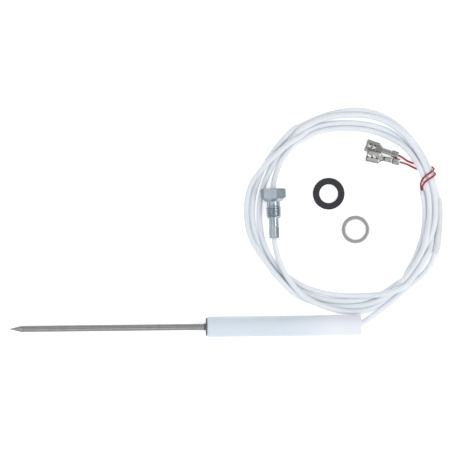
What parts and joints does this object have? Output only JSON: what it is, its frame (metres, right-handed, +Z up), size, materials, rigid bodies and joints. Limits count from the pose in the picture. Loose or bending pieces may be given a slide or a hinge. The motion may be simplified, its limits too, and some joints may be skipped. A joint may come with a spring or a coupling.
{
  "type": "penetration temperature probe",
  "caption": "Pointed steel needle probe in a white handle, with a long coiled cable, a feed-through gland, loose sealing washers and push-on receptacles.",
  "frame": {"origin": "bottom centre of the box round the probe and its two loose washers, on the surface that everything lies on", "axes": "+X along the probe from the needle's point to the handle's rear, +Y from the probe towards the coil of cable, +Z up from the surface"},
  "size_m": [0.2832, 0.1463, 0.0164],
  "materials": {
    "needle_steel": "satin drawn stainless steel",
    "collar_steel": "dull dark metal",
    "handle_plastic": "smooth bluish-white fluoropolymer, slightly waxy",
    "cable_sheath": "translucent white fluoropolymer sheath, soft gloss",
    "sleeve_plastic": "translucent white sleeve, a shade duller than the cable",
    "gland_plating": "bright nickel plating, turned",
    "seal_plastic": "white sealing bush",
    "washer_rubber": "near-black matt sheet rubber",
    "ring_metal": "satin metal with bright chamfers",
    "terminal_tin": "tin-plated pressed sheet",
    "lead_red": "red insulation, soft gloss",
    "strand_copper": "bare stranded copper",
    "ceramic": "unglazed",
    "core_insulation": "thin wire insulation"
  },
  "bodies": {
    "probe": {"needle_tip": "needle_steel", "needle_tube": "needle_steel", "needle_anchor": "needle_steel", "sensor_element": "ceramic", "sensor_wire_a": "core_insulation", "sensor_wire_b": "core_insulation", "splice_a": "terminal_tin", "splice_b": "terminal_tin", "cable_core_a": "core_insulation", "cable_core_b": "core_insulation", "front_collar": "collar_steel", "handle_body": "handle_plastic", "rear_bush": "handle_plastic", "cable_clamp": "terminal_tin", "cable_exit_run": "cable_sheath", "cable_sleeve": "sleeve_plastic", "cable_coil": "cable_sheath", "cable_gland_run": "cable_sheath", "cable_end_run": "cable_sheath", "gland_body": "gland_plating", "gland_seal": "seal_plastic", "receptacle_upper": "terminal_tin", "receptacle_lower": "terminal_tin", "red_lead_upper": "lead_red", "red_lead_lower": "lead_red", "lead_strands_upper": "strand_copper", "lead_strands_lower": "strand_copper"},
    "rubber_washer": {"rubber_washer": "washer_rubber"},
    "seal_ring": {"seal_ring": "ring_metal"}
  },
  "joints": [
    {"name": "rubber_washer_lift", "type": "slide", "parent": "probe", "child": "rubber_washer", "axis": [0, 0, 1], "range_m": [0, 0.04]},
    {"name": "seal_ring_lift", "type": "slide", "parent": "probe", "child": "seal_ring", "axis": [0, 0, 1], "range_m": [0, 0.04]}
  ]
}
